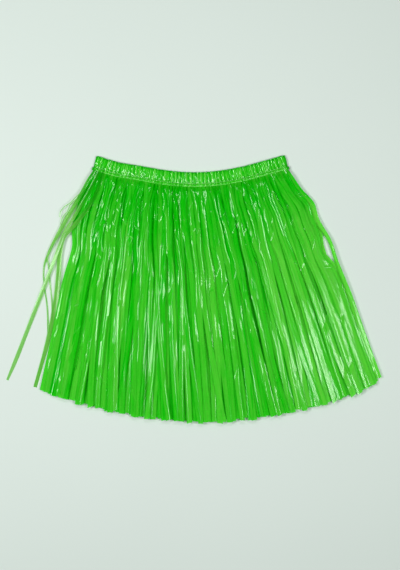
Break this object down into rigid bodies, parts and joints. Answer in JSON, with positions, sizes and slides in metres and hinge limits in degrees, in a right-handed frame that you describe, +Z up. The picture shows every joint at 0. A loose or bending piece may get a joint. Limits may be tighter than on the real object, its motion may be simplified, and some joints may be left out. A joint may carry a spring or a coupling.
{
  "type": "hula skirt",
  "caption": "Plastic hula skirt laid flat: gathered elastic waist casing with overlapping layers of slit green film strips.",
  "frame": {"origin": "on the surface the skirt lies on, under the middle of its outline", "axes": "+X across the skirt, to the right as seen from above; +Y towards the waist; +Z up, out of the front of the skirt"},
  "size_m": [0.6006, 0.4292, 0.0143],
  "materials": {
    "casing_film": "gathered translucent film over elastic",
    "fringe_film": "glossy translucent film, slit into strips",
    "stray_film": "glossy translucent film, single strips"
  },
  "bodies": {
    "root": {"waistband_casing": "casing_film", "back_fringe_under_left": "fringe_film", "back_fringe_under_right": "fringe_film", "back_fringe_upper_left": "fringe_film", "back_fringe_upper_right": "fringe_film", "front_fringe_under_left": "fringe_film", "front_fringe_under_right": "fringe_film", "front_fringe_middle_left": "fringe_film", "front_fringe_middle_right": "fringe_film", "front_fringe_top_left": "fringe_film", "front_fringe_top_right": "fringe_film", "front_stray_curl": "stray_film", "front_stray_long": "stray_film", "front_stray_wide": "stray_film"}
  },
  "joints": []
}
